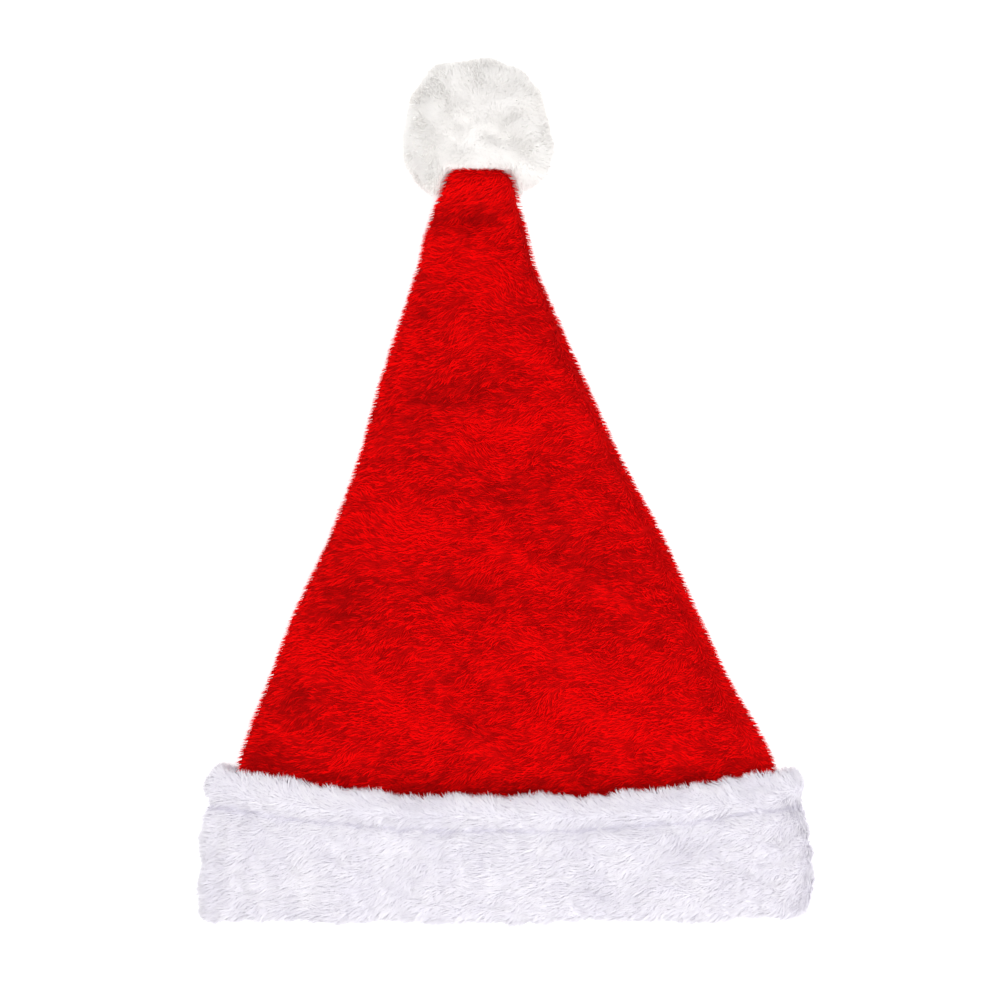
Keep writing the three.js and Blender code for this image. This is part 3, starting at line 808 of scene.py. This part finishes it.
def tuft_widths(settings, count, rng):
    """Widths of tufts at the root, each a little different."""
    return settings.tuft / MM * rng.uniform(0.75, 1.25, count)


def lay_tufts(roots, normals, ways, length, lift, pull, gather):
    """Points of tufts that rise from the surface by the lift angle and lean along their ways, drawn
    towards their clump's centre."""
    rise = np.cos(lift)[:, None] * ways + np.sin(lift)[:, None] * normals
    return roots + length[:, None] * rise + gather * along_surface(pull, normals)


FRONT_TUFTS = 48500
BACK_TUFTS = 19000
CUFF_TUFTS = {"upper": 49500, "lower": 33000}
POMPOM_TUFTS = 45000

CROWN_CLUMP = np.array([4.2, 1.5, 3.0])
CUFF_CLUMP = np.array([5.0, 3.2, 3.2])
POMPOM_CLUMP = np.array([4.5, 4.5, 4.5])
CROWN_NAP_WAY = math.radians(190)
CUFF_NAP_WAY = math.radians(198)
CUFF_ROLL_TURN = math.radians(83)  # how far the fur turns from the band to the roll
CROWN_FUR = (0.04, 0.996)  # where the plush starts and ends along the crown
CROWN_FUR_HIDDEN = 6.0  # how far the plush goes on below the cuff's top edge
CLOTH_END = 0.997  # where the crown's cloth ends along it
NAP_LEVEL = 0.74
# How strongly the patches of painted shade and painted highlight change the pile's colour
PAINTED_LIGHT_STRENGTH = 1.5
PAINTED_CUFF_SHADE = 0.4  # of the painted shade on the crown along the cuff's top edge, where the cuff stands above it
PAINTED_CUFF_SHADE_REACH = 8.0
GROOVE_WIDTH = 0.16  # in rows of the cuff's profile, as is the next
ROLL_START = 2.5
TIP_COVER = 6.0  # how far below the tip's seam the pompom has no fluff
PRESSED_PILE = 2.5  # length of the fluff that would come through the tip
POLE = 0.02  # angle of the hole left at each pole, which a flat cap closes


def crown_shade(points, rng):
    """How light the nap is painted, not yet clipped to 0 and 1: the listed patches of painted shade and
    painted highlight, the painted shade along the cuff's top edge, soft noise at three scales and a little
    luck for each tuft."""
    x, y = points[:, 0], points[:, 1]
    shade = NAP_LEVEL + PAINTED_LIGHT_STRENGTH * blobs(x, y, PAINTED_LIGHT_PATCHES)
    # Painted shade on the crown just above the cuff's top edge
    shade -= PAINTED_CUFF_SHADE * np.exp(-((np.maximum(0, y - cuff_top_y(x)) / PAINTED_CUFF_SHADE_REACH) ** 2))
    return shade + ripples(points, NAP_WAVES) + rng.normal(0, 0.2, len(points))


def crown_pile(name, turns, count, seed, settings, material):
    """The plush of one panel: tufts on the panel's cloth that lie mostly across the hat and a little
    down, swirled by noise, turned outwards at the side seams and gathered in small clumps."""
    rng = np.random.default_rng(seed)
    depth = settings.depth / MM

    def surface(turn, along):
        return crown_surface(turn, along, depth)

    def uncovered(points):
        return points[..., 1] > cuff_top_y(points[..., 0]) - CROWN_FUR_HIDDEN

    turn, along = scatter(surface, turns, CROWN_FUR, count, rng, uncovered)
    roots, normals = surface_frame(surface, turn, along, 0.004, 0.002)
    share = np.cos(turn)
    angle = CROWN_NAP_WAY + ripples(roots, CROWN_SWIRLS, seed)
    ways = nap_ways(normals, angle, np.zeros(count), rng.normal(0, 0.22, roots.shape))
    # Near a side seam the tufts point out over it and are shorter, so that they hide it
    sideways = np.zeros_like(ways)
    sideways[:, 0] = np.sign(share)
    sideways[:, 1] = -0.5
    edge = np.clip((np.abs(share) - 0.9) / 0.09, 0, 1)[:, None]
    ways = unit(ways * (1 - edge) + sideways * edge)
    pull, luck = clump_pull(roots, CROWN_CLUMP, seed)
    # Clumps gather mostly along the hat, into locks that run across it
    pull = pull * [0.35, 1.4, 1.0]
    length = tuft_lengths(settings, luck, 0.8, rng) * (1 - 0.35 * edge[:, 0])
    lift = np.radians(26 + 9 * ripple(roots, 20, seed + 3) + rng.normal(0, 6, count))
    points = lay_tufts(roots, normals, ways, length, np.clip(lift, 0.12, 1.2), pull, 0.45)
    width = tuft_widths(settings, count, rng)
    # Each clump's luck gives random tone; near the side seams the pile is painted lighter, a painted sheen
    shade = crown_shade(roots, rng) + 1.1 * (luck - 0.5) + 0.2 * edge[:, 0]
    return tuft_piece(name, roots, points, normals, width, np.clip(shade, 0, 1), 0.3, material)


def crown_cloth(name, turns, columns, rows, settings, pile, backing):
    """One sewn panel: a closed shell whose outer grid lies under the pile, and whose inner grid lies the
    cloth's thickness further in."""
    turn = np.linspace(*turns, columns)[:, None]
    # Rows lie closer together towards the tip
    along = (1 - (1 - np.linspace(0, 1, rows)) ** 1.3)[None, :] * CLOTH_END
    depth = settings.depth / MM
    outer = crown_surface(turn, along, depth)
    inner = crown_surface(turn, along, depth + settings.cloth / MM)
    gap = PANEL_CLEAR if turns[0] == 0 else -PANEL_CLEAR
    for grid in (outer, inner):
        grid[..., 2] += gap
    piece, outside = shell(name, outer, inner)
    face_out(piece)
    for material in (pile, backing):
        piece.data.materials.append(material)
    index = np.ones(len(piece.data.polygons), np.int32)
    index[:outside] = 0
    piece.data.polygons.foreach_set("material_index", index)
    # The cloth under the pile takes mostly the root colour, painted shade at the bottom of the pile, with
    # random tone
    shade = np.clip(0.35 + 0.2 * ripple(np.concatenate([outer, inner]).reshape(-1, 3), 20, 5), 0, 1)
    point_attribute(piece.data, "tip", np.full(len(shade), 0.15))
    point_attribute(piece.data, "shade", shade)
    return piece


def make_crown(context, face, turns, grid, tufts, seed):
    """One panel of the crown, its cloth and its plush, with the materials that both panels share."""
    settings = context.scene.hat_crown
    # Saturated red with a velvet edge: deep red in the painted shade of the dents, creases and roots,
    # bright in the painted highlights, with random tone between
    pile = bpy.data.materials.get("red polyester plush")
    if pile is None:
        pile = pile_material("red polyester plush", settings, 0.9, 0.12, (1.0, 0.03, 0.05))
    # A duller, flat red with fine ribs, seen only inside the mouth
    backing = bpy.data.materials.get("red knitted backing")
    if backing is None:
        backing = knit_material("red knitted backing", settings.backing, 1.2)
    cloth = crown_cloth(f"crown_{face}_cloth", turns, *grid, settings, pile, backing)
    fur = crown_pile(f"crown_{face}_pile", turns, tufts, seed, settings, pile)
    for piece in (cloth, fur):
        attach(piece, "root")
    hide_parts(f"crown_{face}")


class HAT_OT_crown_back(bpy.types.Operator):
    """Builds the lower panel of red plush, which lies on the floor"""

    bl_idname = "hat.crown_back"
    bl_label = "Crown back"

    def execute(self, context):
        make_crown(context, "back", (math.pi, 2 * math.pi), (90, 110), BACK_TUFTS, 50)
        return {"FINISHED"}


class HAT_OT_crown_front(bpy.types.Operator):
    """Builds the upper panel of red plush, with its dents and creases"""

    bl_idname = "hat.crown_front"
    bl_label = "Crown front"

    def execute(self, context):
        make_crown(context, "front", (0, math.pi), (110, 140), FRONT_TUFTS, 40)
        return {"FINISHED"}


def cuff_fur(half, round_range, seed, settings, material):
    """The fur of one half of the cuff, in small clumps: tufts that lie across the band below the groove
    and turn up to the tip on the roll above it, a little shorter in the groove and on the roll."""
    rng = np.random.default_rng(seed)
    depth = settings.depth / MM
    count = CUFF_TUFTS[half]

    def surface(u, v):
        return cuff_surface(u, v, depth)

    # From just inside the mouth edge, round the outer face and the roll, to the roll's inner side
    u, v = scatter(surface, round_range, PROFILE_FUR, count, rng)
    roots, normals = surface_frame(surface, u, v, 0.0015, 0.003)
    rows_past_groove = (v - PROFILE_GROOVE) * PROFILE_ROWS
    roll = np.clip(rows_past_groove / ROLL_START, 0, 1)
    in_groove = np.exp(-((rows_past_groove / GROOVE_WIDTH) ** 2))
    swirl = ripples(roots, CUFF_SWIRLS, seed)
    angle = CUFF_NAP_WAY - CUFF_ROLL_TURN * roll**1.3 + swirl
    ways = nap_ways(normals, angle, 0.25 * swirl, rng.normal(0, 0.2, roots.shape))
    pull, luck = clump_pull(roots, CUFF_CLUMP, seed)
    length = tuft_lengths(settings, luck, 0.8, rng) * (1 - 0.2 * in_groove) * (1 - 0.15 * roll)
    lift = np.radians(27 + 6 * ripple(roots, 22, seed + 3) + rng.normal(0, 5, count)) - 0.1 * in_groove
    lift = np.clip(lift, 0.1, 0.8)
    points = lay_tufts(roots, normals, ways, length, lift, pull, 0.4)
    width = tuft_widths(settings, count, rng)
    # Random tone, and painted shade along the groove between the band and the roll
    shade = 0.75 + 0.1 * ripple(roots, 26, seed + 4) + 0.2 * (luck - 0.5) - 0.8 * in_groove
    shade = np.clip(shade + rng.normal(0, 0.1, count), 0, 1)
    return tuft_piece(f"cuff_fur_{half}", roots, points, normals, width, shade, 2.0, material)


BAND_GRID = (240, 66)  # steps round the band and round its wall
CORE_GRID = (110, 60)  # steps round the pompom and from pole to pole


class HAT_OT_cuff(bpy.types.Operator):
    """Builds the padded white cuff and its fur, in an upper and a lower half"""

    bl_idname = "hat.cuff"
    bl_label = "Cuff"

    def execute(self, context):
        settings = context.scene.hat_cuff
        # Cool white with a faint violet tint, soft and matt; darker and greyer between the locks and along
        # the groove, which is painted shade
        fur = pile_material("white polyester faux fur", settings, 0.9, 0.2, (1.0, 1.0, 1.0))
        # A flat pale grey with fine ribs, which shows only deep between the tufts; it is darker than the
        # fur as painted shade there
        backing = knit_material("white knitted backing", settings.backing, 1.2)
        around, along = BAND_GRID
        around_share = np.arange(around)[:, None] / around
        along_share = np.arange(along)[None, :] / along
        grid = cuff_surface(around_share, along_share, settings.depth / MM)
        band = mesh_object("cuff_band", grid.reshape(-1, 3), grid_faces(around, along, True, True))
        face_out(band)
        band.data.materials.append(backing)
        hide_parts("cuff")
        upper = cuff_fur("upper", (0.0, 0.5), 60, settings, fur)
        lower = cuff_fur("lower", (0.5, 1.0), 70, settings, fur)
        for piece in (band, upper, lower):
            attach(piece, "root")
        return {"FINISHED"}


def pompom_core(settings, material):
    """The pompom's core: a closed grid of points with a flat cap at each pole."""
    around, along = CORE_GRID
    turn = np.arange(around)[:, None] / around * 2 * math.pi
    pole = np.linspace(POLE, math.pi - POLE, along)[None, :]
    points = pompom_surface(turn, pole, settings.depth / MM).reshape(-1, 3)
    caps = [np.arange(around)[::-1] * along, np.arange(around) * along + along - 1]
    quads = grid_faces(around, along, True, False)
    faces = np.concatenate([quads.ravel(), *caps])
    sizes = np.concatenate([np.full(len(quads), 4), [around, around]]).astype(np.int32)
    core = mesh_object("pompom_core", points, faces, sizes)
    face_out(core)
    core.data.materials.append(material)
    return core


def pompom_fluff(settings, material):
    """The pompom's loose fluff: tufts that stand out from the core in random ways, none of them under
    the crown's tip, and short where they would come through it."""
    rng = np.random.default_rng(80)
    depth = settings.depth / MM
    count = POMPOM_TUFTS

    def surface(u, v):
        return pompom_surface(u, v, depth)

    def uncovered(points):
        outside, seam = tip_distance(points[..., 0], points[..., 1])
        return (outside > 0) | (points[..., 2] < seam - TIP_COVER)

    u, v = scatter(surface, (0, 2 * math.pi), (POLE, math.pi - POLE), count, rng, uncovered)
    roots, normals = surface_frame(surface, u, v, 0.02, 0.02)
    normals = unit(normals + 2 * unit(roots - POMPOM_MIDDLE))
    plan = np.stack([ripple(roots, 18, 81), ripple(roots, 18, 82), ripple(roots, 18, 83)], -1)
    ways = unit(along_surface(plan + rng.normal(0, 0.8, roots.shape), normals))
    pull, luck = clump_pull(roots, POMPOM_CLUMP, 84)
    length = tuft_lengths(settings, luck, 0.75, rng)
    lift = np.clip(np.radians(50 + rng.normal(0, 10, count)), 0.2, 1.4)
    points = lay_tufts(roots, normals, ways, length, lift, pull, 0.25)
    outside, seam = tip_distance(points[:, 0], points[:, 1])
    over = (outside < 0.5) & (points[:, 2] > seam - TIP_PRESS)
    points = np.where(over[:, None], roots + normals * PRESSED_PILE, points)
    width = tuft_widths(settings, count, rng)
    shade = np.clip(0.6 + 0.25 * ripple(roots, 20, 85) + 0.15 * (luck - 0.5), 0, 1)
    return tuft_piece("pompom_fluff", roots, points, normals, width, shade, 4.0, material)


class HAT_OT_pompom(bpy.types.Operator):
    """Builds the pompom: a lumpy padded core and its loose fluff"""

    bl_idname = "hat.pompom"
    bl_label = "Pompom"

    def execute(self, context):
        settings = context.scene.hat_pompom
        # Warm white and almost without shade, so that only the lobes show
        fluff = pile_material("white polyester fluff", settings, 0.9, 0.2, (1.0, 1.0, 1.0))
        # The same white, closed and flat, under the fluff
        wound = knit_material("white wound core", settings.root, 0.8)
        core = pompom_core(settings, wound)
        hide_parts("pompom")
        fur = pompom_fluff(settings, fluff)
        for piece in (core, fur):
            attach(piece, "root")
        return {"FINISHED"}


def area_light(name, place, target, size, watts):
    """A square soft light that faces a point."""
    data = bpy.data.lights.new(name, "AREA")
    data.size = size
    data.energy = watts
    light = bpy.data.objects.new(name, data)
    light.location = place
    light.rotation_euler = (Vector(target) - Vector(place)).to_track_quat("-Z", "Y").to_euler()
    bpy.context.scene.collection.objects.link(light)


FLOOR_SIZE = 6000.0
SENSOR_WIDTH = 36


class HAT_OT_stage(bpy.types.Operator):
    """Builds the pale floor, the soft lights and the camera straight above the hat"""

    bl_idname = "hat.stage"
    bl_label = "Stage"

    def execute(self, context):
        settings = context.scene.hat_stage
        scene = context.scene
        half = FLOOR_SIZE / 2
        corners = np.array([(-half, -half, 0), (half, -half, 0), (half, half, 0), (-half, half, 0)])
        floor = mesh_object("floor", corners, np.array([[0, 1, 2, 3]]))
        # Near-white and matt, lit a little from itself so that it stays even round the hat
        material, tree = new_material("pale matt board")
        shader = add_node(
            tree,
            "ShaderNodeBsdfPrincipled",
            {},
            {
                "Base Color": (*settings.floor, 1),
                "Roughness": 0.9,
                "Specular IOR Level": 0.1,
                "Emission Color": (1, 1, 1, 1),
                "Emission Strength": 0.3,
            },
        )
        add_node(tree, "ShaderNodeOutputMaterial", {}, {"Surface": shader.outputs["BSDF"]})
        floor.data.materials.append(material)

        camera_data = bpy.data.cameras.new("camera")
        camera_data.sensor_width = SENSOR_WIDTH
        distance = settings.camera_height - HAT_HEIGHT * MM / 2
        camera_data.lens = SENSOR_WIDTH * distance / settings.view_width
        camera_data.clip_end = 20
        camera = bpy.data.objects.new("camera", camera_data)
        camera.location = (-settings.view_x, -settings.view_x, settings.camera_height)
        scene.collection.objects.link(camera)
        scene.camera = camera

        world = bpy.data.worlds.new("studio")
        world.use_nodes = True
        world.node_tree.nodes["Background"].inputs["Color"].default_value = (1, 1, 1, 1)
        world.node_tree.nodes["Background"].inputs["Strength"].default_value = 0.93
        scene.world = world
        scene.view_settings.view_transform = "Standard"
        area_light("overhead", (0.1, -0.1, 1.7), (0, 0, 0), 1.2, 12)
        area_light("near_side", (-0.1, -1.3, 0.9), (0, 0, 0), 0.7, 3)
        area_light("right_side", (1.1, -0.7, 0.8), (0, 0, 0), 0.8, 5)
        area_light("far_side", (-1.0, 1.1, 0.9), (0, 0, 0), 0.8, 4)
        return {"FINISHED"}


class HAT_PT_panel(bpy.types.Panel):
    """Lists the steps that build the hat"""

    bl_idname = "HAT_PT_panel"
    bl_label = "Plush santa hat"
    bl_space_type = "VIEW_3D"
    bl_region_type = "UI"
    bl_category = "Hat"

    def draw(self, context):
        for settings, operators in (
            (context.scene.hat_stage, (HAT_OT_stage,)),
            (context.scene.hat_crown, (HAT_OT_crown_back, HAT_OT_crown_front)),
            (context.scene.hat_cuff, (HAT_OT_cuff,)),
            (context.scene.hat_pompom, (HAT_OT_pompom,)),
        ):
            box = self.layout.box()
            for name in settings.bl_rna.properties.keys():
                if name not in ("rna_type", "name"):
                    box.prop(settings, name)
            for operator in operators:
                box.operator(operator.bl_idname)


SETTINGS = {
    "hat_crown": CrownSettings,
    "hat_cuff": CuffSettings,
    "hat_pompom": PompomSettings,
    "hat_stage": StageSettings,
}
OPERATORS = (HAT_OT_stage, HAT_OT_crown_back, HAT_OT_crown_front, HAT_OT_cuff, HAT_OT_pompom)


def register():
    for settings in SETTINGS.values():
        bpy.utils.register_class(settings)
    for name, settings in SETTINGS.items():
        setattr(bpy.types.Scene, name, bpy.props.PointerProperty(type=settings))
    for operator in (*OPERATORS, HAT_PT_panel):
        bpy.utils.register_class(operator)


def unregister():
    for operator in reversed((*OPERATORS, HAT_PT_panel)):
        bpy.utils.unregister_class(operator)
    for name in SETTINGS:
        delattr(bpy.types.Scene, name)
    for settings in SETTINGS.values():
        bpy.utils.unregister_class(settings)


def main():
    register()
    bpy.ops.hat.stage()
    bpy.ops.hat.crown_back()
    bpy.ops.hat.crown_front()
    bpy.ops.hat.cuff()
    bpy.ops.hat.pompom()
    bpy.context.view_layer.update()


if __name__ == "__main__":
    main()
